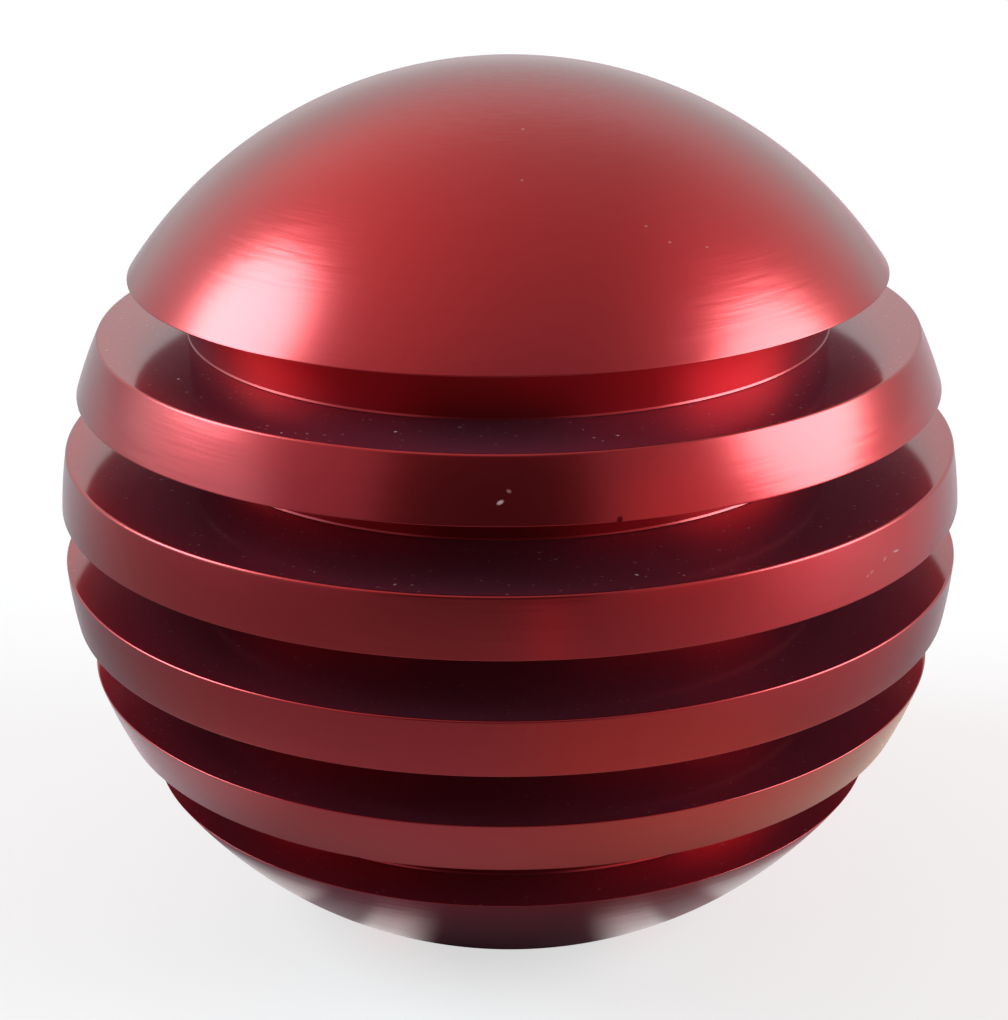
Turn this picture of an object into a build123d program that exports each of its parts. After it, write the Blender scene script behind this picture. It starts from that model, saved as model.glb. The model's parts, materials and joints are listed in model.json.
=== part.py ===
"""Ball gear shift knob, turned from one piece of aluminium bar.

Equal grooves run round the ball, all plunged to one core diameter, so that the
lands between them stand out as fins whose outer faces keep the curve of the ball.
A flat on the underside carries a blind hole, tapped for the end of the gear lever.
The origin is the middle of that flat, and +Z runs up the axis of the lever.
"""

import os
from math import radians, sqrt, tan

from build123d import *

# Ball and grooves, in millimetres
ball_diameter = 50.8
groove_count = 5
groove_width = 3.175
land_width = 3.175
groove_depth = 3.175  # at the rims of the two domes, where the grooves are shallowest
groove_corner_break = 0.2  # at 45 degrees, left by the corners of the grooving tool
land_edge_break = 0.15  # off both sides of each outer edge, to be kind to the hand

# Base, in millimetres
base_flat_diameter = 25.4
base_edge_break = 0.4

# Hole for the lever, in millimetres and degrees
thread_diameter = 12.0  # metric fine thread, M12 x 1.25
thread_pitch = 1.25
thread_length = 25.0
drill_run_out = 4.0  # plain end of the hole, past the last full thread
drill_point_angle = 118.0
countersink_lead = 0.75  # how far the countersink stands outside the thread
countersink_angle = 90.0

# Height of an internal thread for each millimetre of pitch, in the ISO profile
thread_height_per_pitch = 5 / 8 * sqrt(3) / 2

# Sizes that follow from those above
ball_radius = ball_diameter / 2
ball_centre_height = sqrt(ball_radius**2 - (base_flat_diameter / 2) ** 2)
groove_pitch = groove_width + land_width
grooved_height = groove_count * groove_pitch - land_width
dome_rim_radius = sqrt(ball_radius**2 - (grooved_height / 2) ** 2)
core_radius = dome_rim_radius - groove_depth
bore_radius = thread_diameter / 2 - thread_height_per_pitch * thread_pitch
mouth_radius = thread_diameter / 2 + countersink_lead


def ball_section():
    """Half of the ball's section, right of the axis and above the base flat."""
    top = (0, ball_centre_height + ball_radius)
    widest = (ball_radius, ball_centre_height)
    base_corner = (base_flat_diameter / 2, 0)
    flat_sides = Polyline(top, (0, 0), base_corner)
    return make_face(flat_sides + ThreePointArc(base_corner, widest, top))


def groove_sections():
    """Every groove, as a slot from the core out past the ball, with broken corners at its floor."""
    slot = Rectangle(ball_radius, groove_width, align=(Align.MIN, Align.CENTER))
    slot = chamfer(slot.vertices().group_by(Axis.X)[0], groove_corner_break)
    lowest = ball_centre_height - (grooved_height - groove_width) / 2
    heights = [lowest + i * groove_pitch for i in range(groove_count)]
    return [Pos(core_radius, height) * slot for height in heights]


def lever_hole_section():
    """Half of the tapped hole's section: countersink, wall at the thread's crests, drill point."""
    countersink_depth = (mouth_radius - bore_radius) / tan(radians(countersink_angle / 2))
    wall_top = countersink_depth + thread_length + drill_run_out
    point_top = wall_top + bore_radius / tan(radians(drill_point_angle / 2))
    return Polygon(
        (0, 0),
        (mouth_radius, 0),
        (bore_radius, countersink_depth),
        (bore_radius, wall_top),
        (0, point_top),
        align=None,
    )


def knob_section():
    """Half of the whole knob's section, with its outer edges broken."""
    section = ball_section() - groove_sections()
    land_corners = section.vertices().sort_by(Axis.X)[-2 * groove_count :]
    section = chamfer(land_corners, land_edge_break)
    base_corner = section.vertices().group_by(Axis.Y)[0].sort_by(Axis.X)[-1]
    section = chamfer(base_corner, base_edge_break)
    return section - lever_hole_section()


knob_body = revolve(Plane.XZ * knob_section(), Axis.Z)

os.makedirs("parts", exist_ok=True)
export_step(knob_body, "parts/knob_body.step")
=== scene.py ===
"""Ball gear shift knob in red anodised aluminium, dressed for the photograph's view.

The CAD solid gives the place and the size. The piece built here stands for it, with rounded
edges, a cut thread in the hole, and the finish that turning and anodising leave, with painted
shade on the fins' undersides and partly in the groove floors.
"""

import json
from math import atan2, cos, pi, radians, sin, sqrt, tan

import bmesh
import bpy
from mathutils import Matrix, Vector


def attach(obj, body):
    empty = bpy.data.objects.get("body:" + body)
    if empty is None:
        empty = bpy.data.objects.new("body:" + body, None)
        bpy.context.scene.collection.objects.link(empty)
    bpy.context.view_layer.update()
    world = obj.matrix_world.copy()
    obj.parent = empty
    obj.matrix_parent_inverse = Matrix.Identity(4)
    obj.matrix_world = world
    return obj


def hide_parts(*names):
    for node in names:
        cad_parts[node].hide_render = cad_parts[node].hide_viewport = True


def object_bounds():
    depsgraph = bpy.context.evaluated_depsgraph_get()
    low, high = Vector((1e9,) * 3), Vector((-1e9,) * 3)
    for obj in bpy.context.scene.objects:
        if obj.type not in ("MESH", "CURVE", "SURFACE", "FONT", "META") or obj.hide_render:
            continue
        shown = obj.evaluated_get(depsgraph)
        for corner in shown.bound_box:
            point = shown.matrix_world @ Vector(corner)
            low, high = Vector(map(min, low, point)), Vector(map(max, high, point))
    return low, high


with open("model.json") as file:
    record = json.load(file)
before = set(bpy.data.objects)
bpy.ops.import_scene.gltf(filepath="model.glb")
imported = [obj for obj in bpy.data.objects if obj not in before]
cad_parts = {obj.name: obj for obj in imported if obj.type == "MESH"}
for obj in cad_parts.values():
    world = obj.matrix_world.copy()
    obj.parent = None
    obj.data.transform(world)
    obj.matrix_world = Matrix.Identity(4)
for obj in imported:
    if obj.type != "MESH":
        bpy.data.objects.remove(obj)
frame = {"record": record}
cad_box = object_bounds()

mm = 0.001

# Sizes of the knob in millimetres, from the frame
knob_height = cad_box[1].z / mm
ball_radius = knob_height / (1 + sqrt(3) / 2)  # the base flat is half as wide as the ball
centre_height = knob_height - ball_radius
groove_count = 5
groove_width = ball_radius / 8
land_width = ball_radius / 8
groove_depth = ball_radius / 8  # at the rims of the two domes

# Rounding of the edges, in millimetres
upper_edge_rounds = [0.02, 0.05, 0.1, 0.15, 0.15]  # under each groove, from the lowest one up
lower_edge_round = 0.04  # above each groove
groove_corner_height = 0.1  # narrow bevel between a groove's side and its core
groove_corner_width = 0.046
base_edge_round = 0.45

# Hole for the lever, in millimetres and degrees
lever_mount = next(m for m in frame["record"]["mounts"] if m["kind"] == "threaded_hole")
bore_radius = lever_mount["dims"]["r_mm"]
wall_length = lever_mount["dims"]["length_mm"]
thread_pitch = 1.25
thread_depth = 5 / 8 * sqrt(3) / 2 * thread_pitch  # of the ISO profile
thread_radius = bore_radius + thread_depth
thread_run_out = 4.0  # plain wall above the thread
thread_fade = 1.5 * thread_pitch  # over which the thread becomes shallower at its top
countersink_width = 0.75
mouth_radius = thread_radius + countersink_width
drill_point_angle = 118.0

# Fineness of the mesh
columns = 256
ball_step = radians(1.25)
edge_steps = 5
support = 0.05  # mm from a rounding to the row that keeps the face beside it flat
seam_gap = 1e-4 * mm  # points closer than this become one
sharp_angle = radians(20)

# Sizes that follow from those above
grooved_height = groove_count * (groove_width + land_width) - land_width
dome_rim_radius = sqrt(ball_radius**2 - (grooved_height / 2) ** 2)
core_radius = dome_rim_radius - groove_depth
wall_bottom = mouth_radius - bore_radius
wall_top = wall_bottom + wall_length
thread_top = wall_top - thread_run_out
thread_bottom = mouth_radius - thread_radius
point_top = wall_top + bore_radius / tan(radians(drill_point_angle / 2))

# Corners of the thread's ISO profile, as (share of a turn, radius), and the turns that its ends need
thread_corners = [(0, bore_radius), (1 / 4, bore_radius), (9 / 16, thread_radius), (11 / 16, thread_radius)]
spare_turns = 4

# Finishes, as material numbers on the mesh
SATIN, BRIGHT, CORE, UNDER = 0, 1, 2, 3


# Profile of the knob, as points (radius, height) in millimetres


def arc(centre, radius, start, end, steps):
    """Points along an arc, from one angle to another."""
    angles = [start + (end - start) * i / steps for i in range(steps + 1)]
    return [(centre[0] + radius * cos(a), centre[1] + radius * sin(a)) for a in angles]


def run(start, end):
    """A straight run with a supporting row close to each end."""
    (r0, z0), (r1, z1) = start, end
    share = support / sqrt((r1 - r0) ** 2 + (z1 - z0) ** 2)
    return [(r0 + (r1 - r0) * t, z0 + (z1 - z0) * t) for t in (0, share, 1 - share, 1)]


def ball_arc(start, end):
    """Points on the ball from one latitude to another, with a supporting row close to each end."""
    edge = support / ball_radius
    steps = max(2, round((end - start) / ball_step))
    inner = arc((0, centre_height), ball_radius, start + edge, end - edge, steps)
    ends = arc((0, centre_height), ball_radius, start, end, 1)
    return [ends[0], *inner, ends[1]]


def land_edge(height, side, radius):
    """Rounded edge where a groove's side meets the ball: side is 1 with the groove above, -1 below.

    Gives the points from the bottom to the top, the latitude where it leaves the ball and the
    radius where it meets the groove's side.
    """
    centre_z = height - side * radius
    rise = centre_z - centre_height
    centre_r = sqrt((ball_radius - radius) ** 2 - rise**2)
    latitude = atan2(rise, centre_r)
    turn = (latitude, pi / 2) if side > 0 else (-pi / 2, latitude)
    return arc((centre_r, centre_z), radius, *turn, edge_steps), latitude, centre_r


def groove(bottom, edge_round):
    """Stretches of one groove, from the edge below it to the edge above it, and its two latitudes."""
    top = bottom + groove_width
    lower_edge, lower_latitude, lower_r = land_edge(bottom, 1, edge_round)
    upper_edge, upper_latitude, upper_r = land_edge(top, -1, lower_edge_round)
    inner = core_radius + groove_corner_width
    low, high = bottom + groove_corner_height, top - groove_corner_height
    stretches = [
        (SATIN, lower_edge),
        (BRIGHT, run((lower_r, bottom), (inner, bottom))),
        (SATIN, run((inner, bottom), (core_radius, low))),
        (CORE, run((core_radius, low), (core_radius, high))),
        (SATIN, run((core_radius, high), (inner, top))),
        # the fins' undersides get the darker copy of the red, painted shade
        (UNDER, run((inner, top), (upper_r, top))),
        (SATIN, upper_edge),
    ]
    return stretches, lower_latitude, upper_latitude


def base_edge():
    """Rounded edge of the base flat, and the latitude where it meets the ball."""
    rise = base_edge_round - centre_height
    centre_r = sqrt((ball_radius - base_edge_round) ** 2 - rise**2)
    latitude = atan2(rise, centre_r)
    points = arc((centre_r, base_edge_round), base_edge_round, -pi / 2, latitude, edge_steps)
    return points, latitude, centre_r


def outside_stretches():
    """The knob's outside from the mouth of the hole to the top, as (finish, points)."""
    edge, latitude, flat_r = base_edge()
    stretches = [(SATIN, run((mouth_radius, 0), (flat_r, 0))), (SATIN, edge)]
    lowest = centre_height - grooved_height / 2
    for i in range(groove_count):
        cut, lower, upper = groove(lowest + i * (groove_width + land_width), upper_edge_rounds[i])
        stretches.append((SATIN, ball_arc(latitude, lower)))
        stretches += cut
        latitude = upper
    stretches.append((SATIN, ball_arc(latitude, pi / 2)))
    return stretches


def hole_stretches():
    """The plain parts of the hole: its countersink, the drilled wall above the thread, the drill point."""
    countersink = run((thread_radius, thread_bottom), (mouth_radius, 0))
    drilled = run((bore_radius, wall_top), (bore_radius, thread_top))
    point = run((0, point_top), (bore_radius, wall_top))
    return [(BRIGHT, countersink), (BRIGHT, drilled), (BRIGHT, point)]


# Mesh of the knob


def ring_point(radius, height, column):
    """A point of the mesh, in metres."""
    angle = 2 * pi * column / columns
    return (radius * cos(angle) * mm, radius * sin(angle) * mm, height * mm)


def turned_faces(points, first):
    """Vertices and faces of one stretch, turned about the axis."""
    vertices = [ring_point(r, z, j) for r, z in points for j in range(columns)]
    faces = []
    for i in range(len(points) - 1):
        low, high = first + i * columns, first + (i + 1) * columns
        for j in range(columns):
            k = (j + 1) % columns
            faces.append((low + j, low + k, high + k, high + j))
    return vertices, faces


def thread_point(row, column):
    """A point of the right-hand thread, whose rows are the corners of its profile."""
    phase, radius = thread_corners[row % len(thread_corners)]
    turns = row // len(thread_corners) + phase + column / columns
    height = thread_bottom + (turns - 1) * thread_pitch
    height = min(max(height, thread_bottom), thread_top)
    depth = min(1, (thread_top - height) / thread_fade)
    radius = bore_radius + (radius - bore_radius) * depth
    return ring_point(max(radius, mouth_radius - height), height, column)


def thread_faces(first):
    """Vertices and faces of the thread. Its last column joins the first one, a turn higher up."""
    per_turn = len(thread_corners)
    rows = per_turn * (int((thread_top - thread_bottom) / thread_pitch) + spare_turns)
    vertices = [thread_point(i, j) for i in range(rows) for j in range(columns)]
    faces = []
    for i in range(rows - per_turn - 1):
        for j in range(columns):
            k, lift = (j + 1, 0) if j + 1 < columns else (0, per_turn)
            low, high = first + i * columns, first + (i + 1) * columns
            shift = lift * columns
            faces.append((low + j, high + j, high + k + shift, low + k + shift))
    return vertices, faces


def knob_mesh():
    """The whole knob as one closed mesh, with the finish of each face."""
    vertices, faces, finishes = [], [], []
    for finish, points in outside_stretches() + hole_stretches():
        more_vertices, more_faces = turned_faces(points, len(vertices))
        vertices += more_vertices
        faces += more_faces
        finishes += [finish] * len(more_faces)
    more_vertices, more_faces = thread_faces(len(vertices))
    vertices += more_vertices
    faces += more_faces
    finishes += [BRIGHT] * len(more_faces)

    mesh = bpy.data.meshes.new("knob")
    mesh.from_pydata(vertices, [], faces)
    mesh.polygons.foreach_set("material_index", finishes)
    seams = bmesh.new()
    seams.from_mesh(mesh)
    bmesh.ops.remove_doubles(seams, verts=seams.verts, dist=seam_gap)
    bmesh.ops.recalc_face_normals(seams, faces=seams.faces)
    seams.to_mesh(mesh)
    seams.free()
    mesh.shade_smooth()
    mesh.set_sharp_from_angle(angle=sharp_angle)
    return mesh


# Nodes


def add_node(tree, kind, inputs=None, **settings):
    """A new shader node. Its inputs are values, or outputs of other nodes to be linked."""
    node = tree.nodes.new("ShaderNode" + kind)
    for name, value in settings.items():
        setattr(node, name, value)
    for socket, value in (inputs or {}).items():
        if isinstance(value, bpy.types.NodeSocket):
            tree.links.new(value, node.inputs[socket])
        else:
            node.inputs[socket].default_value = value
    return node


def maths(tree, operation, *values):
    """Output of a Math node."""
    return add_node(tree, "Math", dict(enumerate(values)), operation=operation).outputs[0]


def product(tree, *values):
    """Two or more numbers multiplied together."""
    result = values[0]
    for value in values[1:]:
        result = maths(tree, "MULTIPLY", result, value)
    return result


def vector_maths(tree, operation, *values):
    """Vector output of a Vector Math node."""
    return add_node(tree, "VectorMath", dict(enumerate(values)), operation=operation).outputs["Vector"]


def vector_measure(tree, operation, *values):
    """Number that a Vector Math node gives, such as a length."""
    return add_node(tree, "VectorMath", dict(enumerate(values)), operation=operation).outputs["Value"]


def scale_vector(tree, vector, factor):
    """A vector times a number."""
    return add_node(tree, "VectorMath", {0: vector, "Scale": factor}, operation="SCALE").outputs["Vector"]


def ramp(tree, value, low, high, start=0.0, end=1.0):
    """A value that goes smoothly from start to end as the input goes from low to high."""
    inputs = {"Value": value, "From Min": low, "From Max": high, "To Min": start, "To Max": end}
    node = add_node(tree, "MapRange", inputs, interpolation_type="SMOOTHSTEP")
    return node.outputs["Result"]


def between(tree, value, rise_start, rise_end, fall_start, fall_end):
    """A share that rises to 1 over one range of the input and falls back to 0 over a later one."""
    return product(tree, ramp(tree, value, rise_start, rise_end), ramp(tree, value, fall_end, fall_start))


def mix_colours(tree, share, colour, other):
    """A colour that becomes another one as the share goes from 0 to 1."""
    return add_node(tree, "Mix", {0: share, 6: colour, 7: (*other, 1.0)}, data_type="RGBA").outputs[2]


def pick_colour(tree, value, stops):
    """Colour at a value between 0 and 1 on a row of stops, given as (position, grey or colour)."""
    node = add_node(tree, "ValToRGB", {0: value})
    elements = node.color_ramp.elements
    while len(elements) < len(stops):
        elements.new(0.5)
    for element, (position, colour) in zip(elements, stops):
        element.position = position
        element.color = (*colour, 1) if isinstance(colour, tuple) else (colour, colour, colour, 1)
    return node.outputs[0]


def new_material(name):
    """An empty material with its output node."""
    material = bpy.data.materials.new(name)
    material.use_nodes = True
    material.node_tree.nodes.clear()
    output = add_node(material.node_tree, "OutputMaterial")
    return material, material.node_tree, output


# Directions and places


def direction(azimuth, elevation):
    """Unit vector from an azimuth, from the front towards +X, and an elevation, in degrees."""
    az, el = radians(azimuth), radians(elevation)
    return Vector((sin(az) * cos(el), -cos(az) * cos(el), sin(el)))


def azimuth_of(tree, x, y):
    """Azimuth of a place or a direction in radians, from the front towards +X."""
    return maths(tree, "ARCTAN2", x, product(tree, y, -1.0))


def place_in_mm(tree):
    """Place on an object, in millimetres from its origin."""
    return scale_vector(tree, add_node(tree, "TexCoord").outputs["Object"], 1 / mm)


# Turning marks: lines to a millimetre along the profile, and how quickly they change round the knob
coarse_marks = {"lines_per_mm": 4.5, "round_scale": 6.0}
fine_marks = {"lines_per_mm": 9.0, "round_scale": 2.5}
fine_depth = 0.5  # beside the coarse marks
slope_range = (0.2, 0.8)  # of the noise, from one slope to the other
tone_range = (0.3, 0.7)  # of the noise, from the dark and smooth lines to the pale and rough ones
tone_spread = 0.01
roughness_spread = 0.005
smallest_radius = 0.02  # mm, so that nothing is divided by zero on the axis


def turned_place(tree, place):
    """The way out from the axis, and how far along the turned profile a place is in millimetres."""
    x, y, z = add_node(tree, "SeparateXYZ", {0: place}).outputs
    square = maths(tree, "ADD", product(tree, x, x), product(tree, y, y))
    radius = maths(tree, "MAXIMUM", maths(tree, "SQRT", square), smallest_radius)
    from_centre = maths(tree, "ABSOLUTE", maths(tree, "SUBTRACT", z, centre_height))
    along = maths(tree, "SUBTRACT", radius, from_centre)
    out_x, out_y = maths(tree, "DIVIDE", x, radius), maths(tree, "DIVIDE", y, radius)
    outward = add_node(tree, "CombineXYZ", {0: out_x, 1: out_y}).outputs[0]
    return outward, along


def turning_marks(tree, outward, along, lines_per_mm, round_scale):
    """Streaks that run round the knob: close together along the profile, long round the axis."""
    across = add_node(tree, "CombineXYZ", {2: product(tree, along, lines_per_mm)}).outputs[0]
    vector = vector_maths(tree, "ADD", scale_vector(tree, outward, round_scale), across)
    noise = add_node(tree, "TexNoise", {"Vector": vector, "Scale": 1.0, "Detail": 1.0})
    return noise.outputs[0]


def turned_normal(tree, outward, slope):
    """The surface normal, tilted along the profile by the slope of the turning marks."""
    normal = add_node(tree, "NewGeometry").outputs["Normal"]
    axis = add_node(tree, "CombineXYZ", {2: 1.0}).outputs[0]
    around = vector_maths(tree, "CROSS_PRODUCT", axis, outward)
    profile = vector_maths(tree, "CROSS_PRODUCT", around, normal)
    tilted = vector_maths(tree, "ADD", normal, scale_vector(tree, profile, slope))
    return vector_maths(tree, "NORMALIZE", tilted)


# Dust: cells to a millimetre, radius of the largest speck in mm, share of the cells with one, strength
fine_dust = {"per_mm": 2.4, "largest": 0.12, "share": 0.9, "strongest": 0.5}
dust_grains = {"per_mm": 1.3, "largest": 0.14, "share": 0.5, "strongest": 0.9}
speck_middle = 0.3  # share of a speck that has its full strength
faintest_speck = 0.15  # beside the strongest one
ragged_scale = 5.0  # waves to a millimetre in the outline of a speck
ragged_reach = 0.16  # mm
dusty_slopes = (0.9, 1.0)  # how far a face has to look up for dust to stay on it
dust_heights = (18.0, 33.0)  # mm, over which the dust grows from its lowest share to its full strength going up
lowest_dust = 0.3
dust_colour = (0.6, 0.56, 0.56)


def specks(tree, place, per_mm, largest, share, strongest):
    """Specks scattered at random, each with its own size and strength."""
    cells = add_node(tree, "TexVoronoi", {"Vector": place, "Scale": per_mm})
    chance, luck, _ = add_node(tree, "SeparateColor", {0: cells.outputs["Color"]}).outputs
    radius = ramp(tree, chance, 1 - share, 1.0, 0.0, largest * per_mm)
    middle = product(tree, radius, speck_middle)
    speck = add_node(tree, "MapRange", {0: cells.outputs["Distance"], 1: radius, 2: middle, 3: 0.0, 4: 1.0})
    strength = ramp(tree, luck, 0.0, 1.0, faintest_speck * strongest, strongest)
    return product(tree, speck.outputs[0], strength)


def dust(tree, place):
    """Dust that lies on what faces up: much of it fine and faint, and some larger grains."""
    normal = add_node(tree, "NewGeometry").outputs["Normal"]
    up = ramp(tree, add_node(tree, "SeparateXYZ", {0: normal}).outputs[2], *dusty_slopes)
    noise = add_node(tree, "TexNoise", {"Vector": place, "Scale": ragged_scale}).outputs["Color"]
    ragged = vector_maths(tree, "ADD", place, scale_vector(tree, noise, ragged_reach))
    fine, grains = specks(tree, ragged, **fine_dust), specks(tree, ragged, **dust_grains)
    height = add_node(tree, "SeparateXYZ", {0: place}).outputs[2]
    dust_by_height = ramp(tree, height, *dust_heights, lowest_dust, 1.0)
    return product(tree, maths(tree, "MAXIMUM", fine, grains), up, dust_by_height)


# Small marks on the ball: azimuth, height, half length, half width, tilt, strength, in degrees and mm
pale_marks = [
    (-1.1, 31.04, 0.25, 0.13, 28, 0.75),
    (-0.1, 31.53, 0.17, 0.12, -25, 0.4),
    (51.3, 25.17, 0.4, 0.08, -8, 0.4),
    (48.8, 25.08, 0.2, 0.09, 30, 0.3),
    (46.1, 24.75, 0.2, 0.09, 20, 0.25),
    (45.3, 24.64, 0.14, 0.08, 10, 0.25),
    (5.0, 45.65, 0.12, 0.1, 0, 0.3),
    (3.2, 43.88, 0.1, 0.08, 0, 0.3),
    (25.4, 41.87, 0.1, 0.08, 0, 0.3),
    (28.4, 41.15, 0.12, 0.08, 0, 0.3),
    (34.9, 40.73, 0.1, 0.08, 0, 0.25),
]
dark_marks = [(12.4, 30.05, 0.26, 0.2, 60, 0.75)]
mark_middle = 0.4  # share of a mark that has its full strength
nick_colour = (0.04, 0.0, 0.002)


def blemish(tree, place, azimuth, height, half_length, half_width, tilt, strength):
    """One small mark on the ball, as an oval that leans by its tilt."""
    rise = (height - centre_height) / ball_radius
    reach = sqrt(1 - rise**2)
    outward = direction(azimuth, 0)
    around = direction(azimuth + 90, 0)
    up = Vector((0, 0, reach)) - rise * outward
    stroke = cos(radians(tilt)) * around + sin(radians(tilt)) * up
    middle = ball_radius * reach * outward + Vector((0, 0, height))
    offset = vector_maths(tree, "SUBTRACT", place, tuple(middle))
    length = vector_measure(tree, "DOT_PRODUCT", offset, tuple(stroke))
    spare = product(tree, length, 1 - half_width / half_length)
    squeezed = vector_maths(tree, "SUBTRACT", offset, scale_vector(tree, tuple(stroke), spare))
    distance = vector_measure(tree, "LENGTH", squeezed)
    return ramp(tree, distance, half_width, mark_middle * half_width, 0.0, strength)


def blemishes(tree, place, marks):
    """Several small marks as one mask."""
    mask = 0.0
    for mark in marks:
        mask = maths(tree, "MAXIMUM", mask, blemish(tree, place, *mark))
    return mask


# Dyed anodising and its finish on each group of faces, with painted shade in the darker red
# of the fins' undersides and, partly, in the lower red of the groove floors
dye = (1.0, 0.008, 0.02)  # times the level of red
edge_tint = (0.2, 0.0, 0.0, 1.0)
coat_ior = 1.57
round_the_axis = 0.25  # turn of the stretched highlights, against the radial tangent
violet = (0.75, 0.6, 0.9)
rose = (0.8, 0.5, 0.9)
satin_finish = {
    "red": 0.46,
    "roughness": 0.29,
    "anisotropy": 0.2,
    "coat": 1.0,
    "coat_roughness": 0.24,
    "haze": 0.015,
    "haze_colour": violet,
    "waviness": 0.018,
    "soiled_by": "marks",
}
bright_finish = {
    "red": 0.52,
    "roughness": 0.38,
    "anisotropy": 0.2,
    "coat": 1.0,
    "coat_roughness": 0.11,
    "haze": 0.05,
    "haze_colour": rose,
    "waviness": 0.002,
    "soiled_by": "dust",
}
# Groove floors: a rougher plunge-cut finish with a thin coat, and a lower red that partly paints shade in
# the grooves
core_finish = {
    "red": 0.4,
    "roughness": 0.39,
    "anisotropy": 0.4,
    "coat": 0.18,
    "coat_roughness": 0.35,
    "haze": 0.22,
    "haze_colour": violet,
    "waviness": 0.003,
}
# Fins' undersides: a darker, duller copy of the red, which paints shade on the faces that look down
under_painted_shade_finish = {
    "red": 0.27,
    "roughness": 0.42,
    "anisotropy": 0.2,
    "coat": 0.6,
    "coat_roughness": 0.2,
    "haze": 0.06,
    "haze_colour": violet,
    "waviness": 0.002,
}


def soil(tree, kind, place, colour, rough, coat):
    """Colour, metallic, roughness and coat of a finish with small marks or dust on it."""
    if kind == "dust":
        nicks, powder = 0.0, dust(tree, place)
    else:
        nicks, powder = blemishes(tree, place, dark_marks), blemishes(tree, place, pale_marks)
        colour = mix_colours(tree, nicks, colour, nick_colour)
    colour = mix_colours(tree, powder, colour, dust_colour)
    metallic = maths(tree, "SUBTRACT", 1.0, powder)
    covered = maths(tree, "MAXIMUM", powder, nicks)
    rough = maths(tree, "MAXIMUM", rough, covered)
    return colour, metallic, rough, ramp(tree, covered, 0.0, 1.0, coat, 0.0)


def turned_metal(tree, place, red, roughness, waviness):
    """Colour, roughness and normal of the dyed metal, with its turning marks."""
    outward, along = turned_place(tree, place)
    coarse = turning_marks(tree, outward, along, **coarse_marks)
    fine = turning_marks(tree, outward, along, **fine_marks)
    coarse_slope = ramp(tree, coarse, *slope_range, -waviness, waviness)
    fine_slope = ramp(tree, fine, *slope_range, -fine_depth * waviness, fine_depth * waviness)
    normal = turned_normal(tree, outward, maths(tree, "ADD", coarse_slope, fine_slope))
    tone = ramp(tree, fine, *tone_range, 1 - tone_spread, 1 + tone_spread)
    colour = scale_vector(tree, tuple(red * share for share in dye), tone)
    rough = ramp(tree, fine, *tone_range, roughness - roughness_spread, roughness + roughness_spread)
    return colour, rough, normal


def anodised(
    name, red, roughness, anisotropy, coat, coat_roughness, haze, haze_colour, waviness, soiled_by=None
):
    """Dyed anodising over turned aluminium, clean or soiled by marks or dust."""
    material, tree, output = new_material(name)
    place = place_in_mm(tree)
    colour, rough, normal = turned_metal(tree, place, red, roughness, waviness)
    metallic = 1.0
    if soiled_by:
        colour, metallic, rough, coat = soil(tree, soiled_by, place, colour, rough, coat)
    tangent = add_node(tree, "Tangent", direction_type="RADIAL", axis="Z")
    shader = add_node(
        tree,
        "BsdfPrincipled",
        {
            "Base Color": colour,
            "Metallic": metallic,
            "Roughness": rough,
            "Specular Tint": edge_tint,
            "Anisotropic": anisotropy,
            "Anisotropic Rotation": round_the_axis,
            "Tangent": tangent.outputs[0],
            "Normal": normal,
            "Coat Weight": coat,
            "Coat Roughness": coat_roughness,
            "Coat IOR": coat_ior,
            "Coat Normal": normal,
            "Sheen Weight": haze,
            "Sheen Tint": (*haze_colour, 1.0),
        },
    )
    tree.links.new(shader.outputs[0], output.inputs["Surface"])
    return material


# Studio
white = (1.0, 1.0, 1.0, 1.0)


def seen_or_mirrored(tree, seen, mirrored):
    """One share for what the camera sees by itself, another for what it sees in metal or through glass."""
    paths = add_node(tree, "LightPath").outputs
    bounced = maths(tree, "MAXIMUM", paths["Is Glossy Ray"], paths["Is Transmission Ray"])
    direct = product(tree, paths["Is Camera Ray"], seen)
    return maths(tree, "MAXIMUM", direct, product(tree, bounced, mirrored))


# Places on the floor with a painted tint of reflected light, as ranges in mm from the axis or in radians of
# azimuth
near_ring = (35, 41, 60, 90)
near_sector = (0.0, 0.14, 0.8, 1.05)
far_ring = (80, 120)
far_sector = (0.05, 0.14, 0.16, 0.22)
pink_side = (80, 110)
pink_depth = (-65, -40, 0, 30)
warm_side = (-10, 12, 30, 42)
warm_ring = (80, 55)
cold_ring = (24, 20)
right_side = (40, 100)
shaded_ring = (26, 21)

# Red and blue of the painted tint, where green is 1, and what some of the places add; the red under the
# knob is a painted glow
plain_red = 1.2
right_red = 1.6
shaded_red = 1.9
near_red = 0.25
far_red = 2.3
pink_green = 0.35
plain_blue = 1.05
cold_blue = 0.3
pink_blue = 0.4
warm_blue = -0.24


def floor_painted_tint(tree, x, y, radius):
    """Painted tint: coloured light from the things around the knob, painted into the floor as the knob
    mirrors it.
    """
    azimuth = azimuth_of(tree, x, y)
    near = product(tree, between(tree, azimuth, *near_sector), between(tree, radius, *near_ring))
    far = product(tree, between(tree, azimuth, *far_sector), ramp(tree, radius, *far_ring))
    pink = product(tree, ramp(tree, x, *pink_side), between(tree, y, *pink_depth))
    warm = product(tree, between(tree, x, *warm_side), ramp(tree, radius, *warm_ring))
    cold = ramp(tree, radius, *cold_ring)
    right = ramp(tree, x, *right_side, plain_red, right_red)
    red = maths(tree, "MAXIMUM", ramp(tree, radius, *shaded_ring, plain_red, shaded_red), right)
    red = maths(tree, "MULTIPLY_ADD", near, near_red, red)
    red = maths(tree, "MULTIPLY_ADD", far, far_red, red)
    green = maths(tree, "MULTIPLY_ADD", pink, pink_green, 1.0)
    blue = maths(tree, "MULTIPLY_ADD", cold, cold_blue, plain_blue)
    blue = maths(tree, "MULTIPLY_ADD", pink, pink_blue, blue)
    blue = maths(tree, "MULTIPLY_ADD", warm, warm_blue, blue)
    return add_node(tree, "CombineXYZ", {0: red, 1: green, 2: blue}).outputs[0]
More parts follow.
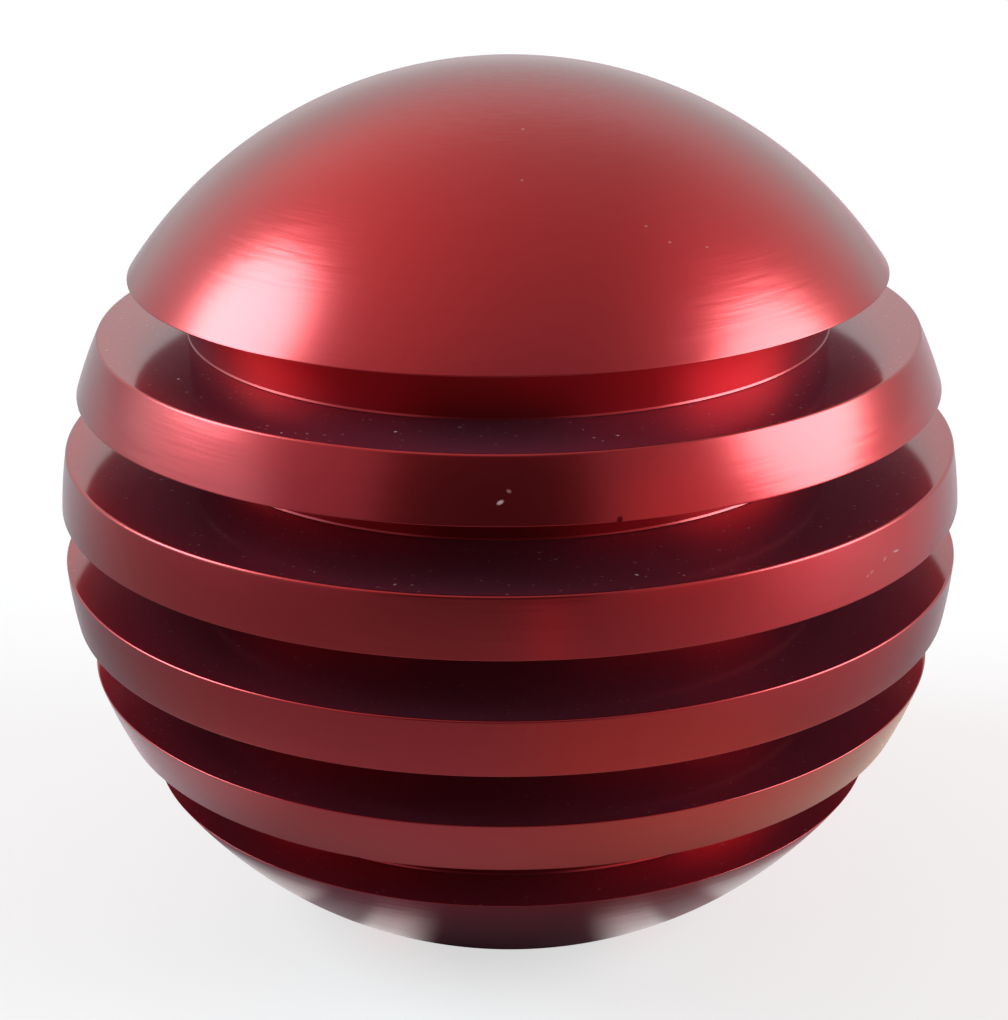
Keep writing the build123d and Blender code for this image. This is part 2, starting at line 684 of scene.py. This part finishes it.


# Painted shade and light on the floor as the knob mirrors it: greys from a dark front to a pale back,
# painted light beside the knob and painted shadow under it, in mm
painted_floor_greys = [(0.0, 0.15), (0.45, 0.22), (0.62, 0.32), (0.75, 0.42), (0.85, 0.5), (1.0, 0.5)]
floor_front = -150
floor_back = 50
floor_slant = 0.5  # how much farther back the right-hand side counts
beside_ring = (42, 30)
left_gain = {"low": -18, "high": -30, "start": 0.2, "end": 1.4}
right_gain = {"low": 4, "high": 26, "start": 0.2, "end": 1.25}
under_ring = (21, 26)
under_level = {"low": 4, "high": 9, "start": 0.25, "end": 0.42}


def floor_painted_light_and_shade(tree, x, y, radius):
    """Floor as the knob mirrors it: painted shade in front, painted light beside the knob, painted shadow
    under it.
    """
    depth = maths(tree, "MULTIPLY_ADD", x, floor_slant, y)
    span = add_node(tree, "MapRange", {0: depth, 1: floor_front, 2: floor_back}).outputs[0]
    greys = pick_colour(tree, span, painted_floor_greys)
    tinted = vector_maths(tree, "MULTIPLY", greys, floor_painted_tint(tree, x, y, radius))
    # painted light beside the knob, where its shadow falls
    sides = maths(tree, "MAXIMUM", ramp(tree, x, **left_gain), ramp(tree, x, **right_gain))
    beside = product(tree, ramp(tree, radius, *beside_ring), sides)
    # painted shadow under the knob
    darkest = ramp(tree, maths(tree, "ABSOLUTE", x), **under_level)
    under = ramp(tree, radius, *under_ring, darkest, 1.0)
    return scale_vector(tree, tinted, product(tree, maths(tree, "ADD", beside, 1.0), under))


# White on the floor that the knob mirrors, in mm: two patches at each side of the base, which paint
# glints on the bottom dome, and the white far behind it
inner_ring = (19.3, 16.2)
inner_start = (4.2, 7.2)
inner_end = {"low": 8.2, "high": 9.4, "start": 1.0, "end": 0.25}
outer_ring = (19.5, 17.5)
outer_start = (11.5, 13.2)
behind_white = {"low": 20, "high": 100, "start": 0.0, "end": 0.25}


def mirrored_white_and_painted_glints(tree, x, y, radius):
    """Share of plain white in the floor as the knob mirrors it: painted glints beside the base, and the
    white behind.
    """
    aside = maths(tree, "ABSOLUTE", x)
    stretch = product(tree, ramp(tree, aside, *inner_start), ramp(tree, aside, **inner_end))
    inner = product(tree, ramp(tree, radius, *inner_ring), stretch)
    outer = product(tree, ramp(tree, aside, *outer_start), ramp(tree, radius, *outer_ring))
    glints = maths(tree, "MAXIMUM", inner, outer)
    return maths(tree, "MAXIMUM", glints, ramp(tree, y, **behind_white))


# Sheet of the floor, and its look where the camera sees it
floor_half = 3.0  # m
floor_gap = 0.02 * mm  # under the base
seen_colour = (0.87, 0.75, 0.745)
seen_white = 0.65  # share of plain white


def floor_material():
    """Paper that looks white to the camera and is seen only from above; what the knob mirrors of it carries
    painted shade, light and glints.
    """
    material, tree, output = new_material("floor")
    place = place_in_mm(tree)
    x, y, _ = add_node(tree, "SeparateXYZ", {0: place}).outputs
    radius = vector_measure(tree, "LENGTH", place)
    paths = add_node(tree, "LightPath").outputs
    colour = mix_colours(tree, paths["Is Camera Ray"], floor_painted_light_and_shade(tree, x, y, radius), seen_colour)
    shade = add_node(tree, "BsdfDiffuse", {"Color": colour})
    glow = add_node(tree, "Emission", {"Color": white, "Strength": 1.0})
    share = seen_or_mirrored(tree, seen_white, mirrored_white_and_painted_glints(tree, x, y, radius))
    paper = add_node(tree, "MixShader", {0: share, 1: shade.outputs[0], 2: glow.outputs[0]})
    underside = add_node(tree, "NewGeometry").outputs["Backfacing"]
    below = maths(tree, "MAXIMUM", underside, maths(tree, "MINIMUM", paths["Transparent Depth"], 1.0))
    clear = add_node(tree, "BsdfTransparent")
    mix = add_node(tree, "MixShader", {0: below, 1: paper.outputs[0], 2: clear.outputs[0]})
    tree.links.new(mix.outputs[0], output.inputs["Surface"])
    return material


def add_floor():
    """A large sheet just under the base."""
    mesh = bpy.data.meshes.new("floor")
    half, level = floor_half, -floor_gap
    corners = [(-half, -half, level), (half, -half, level), (half, half, level), (-half, half, level)]
    mesh.from_pydata(corners, [], [(0, 1, 2, 3)])
    floor = bpy.data.objects.new("floor", mesh)
    floor.data.materials.append(floor_material())
    bpy.context.scene.collection.objects.link(floor)


# Lamps: place and half sizes in degrees as the knob sees them, distance in metres
ball_centre = Vector((0, 0, centre_height * mm))
lamp_distance = 1.5
left_lamp = {
    "azimuth": -96,
    "elevation": 33,
    "half_width": 16.7,
    "half_height": 16.5,
    "radiance": 10.6,
    "colour": (0.58, 1.0, 1.04),
}
right_lamp = {
    "azimuth": 86,
    "elevation": 22,
    "half_width": 21,
    "half_height": 20,
    "radiance": 8.5,
    "colour": (0.64, 1.0, 1.02),
}


def add_lamp(name, azimuth, elevation, half_width, half_height, radiance, colour):
    """A soft round lamp, by the angles that it covers as the knob sees it."""
    data = bpy.data.lights.new(name, "AREA")
    data.shape = "ELLIPSE"
    data.size = 2 * lamp_distance * tan(radians(half_width))
    data.size_y = 2 * lamp_distance * tan(radians(half_height))
    area = pi / 4 * data.size * data.size_y
    data.energy = radiance * pi * area
    data.color = colour
    lamp = bpy.data.objects.new(name, data)
    towards = direction(azimuth, elevation)
    lamp.location = ball_centre + lamp_distance * towards
    lamp.rotation_euler = towards.to_track_quat("Z", "Y").to_euler()
    lamp.visible_camera = False
    bpy.context.scene.collection.objects.link(lamp)


# Room: its levels from front to back, its tints from left to right
room_levels = [
    (0.1, (0.33, 0.28, 0.33)),
    (0.5, (0.61, 0.42, 0.41)),
    (0.72, (0.72, 0.62, 0.62)),
    (0.88, 0.95),
    (1.0, 1.05),
]
room_tints = [
    (0.1, (0.96, 1.0, 1.12)),
    (0.27, (1.42, 1.22, 1.16)),
    (0.5, 1.0),
    (0.68, (0.84, 0.86, 0.86)),
    (0.8, (1.12, 1.01, 1.03)),
    (1.0, (1.12, 1.01, 1.03)),
]

# Its glows, dark places and backdrop, as ranges along the axes of a unit vector, or of azimuth in degrees
glow_heights = (-0.15, 0.1, 0.28, 0.5)
left_glow = (0.5, 1.2, 1.3)
left_glow_side = (-0.82, -0.95)
right_glow = (0.4, 0.06, 0.0)
right_glow_side = (0.32, 0.6)
right_glow_depth = (-0.3, -0.6)
dark_azimuths = (-36, -31, 20, 23.5)
dark_heights = (sin(radians(48)), sin(radians(36)))
dark_level = 0.12
far_depth = (0.2, 0.6)
far_heights = (0.3, 0.0)
far_dimming = 0.35
backdrop_depth = (0.6, 0.85)


def share_along(tree, value):
    """A value between -1 and 1, as a share between 0 and 1."""
    return maths(tree, "MULTIPLY_ADD", value, 0.5, 0.5)


def room_colour(tree, x, y, z):
    """Colour of the room by direction, with a low glow at each side."""
    levels = pick_colour(tree, share_along(tree, y), room_levels)
    tints = pick_colour(tree, share_along(tree, x), room_tints)
    colour = vector_maths(tree, "MULTIPLY", levels, tints)
    band = between(tree, z, *glow_heights)
    left = product(tree, band, ramp(tree, x, *left_glow_side))
    right = product(tree, band, ramp(tree, x, *right_glow_side), ramp(tree, y, *right_glow_depth))
    colour = vector_maths(tree, "ADD", colour, scale_vector(tree, left_glow, left))
    return vector_maths(tree, "ADD", colour, scale_vector(tree, right_glow, right))


def room_strength(tree, x, y, z):
    """Strength of the room's light by direction: little from the front, less from low down at the back."""
    sector = between(tree, azimuth_of(tree, x, y), *[radians(angle) for angle in dark_azimuths])
    dark = product(tree, sector, ramp(tree, z, *dark_heights))
    far_low = product(tree, ramp(tree, y, *far_depth), ramp(tree, z, *far_heights), far_dimming)
    dim = maths(tree, "MAXIMUM", dark, far_low)
    return add_node(tree, "MapRange", {0: dim, 3: 1.0, 4: dark_level}).outputs[0]


def add_world():
    """Soft room light: dim in front, brighter overhead, white behind."""
    world = bpy.data.worlds.new("studio")
    bpy.context.scene.world = world
    world.use_nodes = True
    tree = world.node_tree
    tree.nodes.clear()
    towards = add_node(tree, "TexCoord").outputs["Generated"]
    x, y, z = add_node(tree, "SeparateXYZ", {0: towards}).outputs
    room = {"Color": room_colour(tree, x, y, z), "Strength": room_strength(tree, x, y, z)}
    lit = add_node(tree, "Background", room)
    blank = add_node(tree, "Background", {"Color": white, "Strength": 1.0})
    backdrop = seen_or_mirrored(tree, 1.0, ramp(tree, y, *backdrop_depth))
    mix = add_node(tree, "MixShader", {0: backdrop, 1: lit.outputs[0], 2: blank.outputs[0]})
    add_node(tree, "OutputWorld", {"Surface": mix.outputs[0]})


# Camera fitted to the photograph, in degrees, metres and, on the picture, pixels
camera_elevation = 20.93
camera_distance = 0.1348
camera_roll = -0.468
camera_lens = 82.35  # mm
nearest_seen = 0.001
image_height = 1020
ball_right_of_middle = 5.91
ball_above_middle = 8.2


def add_camera():
    """The photograph's view."""
    data = bpy.data.cameras.new("camera")
    data.lens = camera_lens
    data.shift_x = -ball_right_of_middle / image_height
    data.shift_y = -ball_above_middle / image_height
    data.clip_start = nearest_seen
    camera = bpy.data.objects.new("camera", data)
    towards = direction(0, camera_elevation)
    turn = towards.to_track_quat("Z", "Y").to_matrix() @ Matrix.Rotation(radians(camera_roll), 3, "Z")
    camera.matrix_world = Matrix.Translation(ball_centre + camera_distance * towards) @ turn.to_4x4()
    bpy.context.scene.collection.objects.link(camera)
    bpy.context.scene.camera = camera


# The knob, with its materials in the order of their numbers on the mesh
knob = bpy.data.objects.new("knob", knob_mesh())
bpy.context.scene.collection.objects.link(knob)
knob.data.materials.append(anodised("red_anodised_satin", **satin_finish))
knob.data.materials.append(anodised("red_anodised_bright", **bright_finish))
knob.data.materials.append(anodised("red_anodised_core", **core_finish))
knob.data.materials.append(anodised("red_anodised_under_painted_shade", **under_painted_shade_finish))
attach(knob, "root")
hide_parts("knob_body")

# Its surroundings
add_floor()
add_lamp("left_lamp", **left_lamp)
add_lamp("right_lamp", **right_lamp)
add_world()
add_camera()
bpy.context.scene.view_settings.view_transform = "Standard"
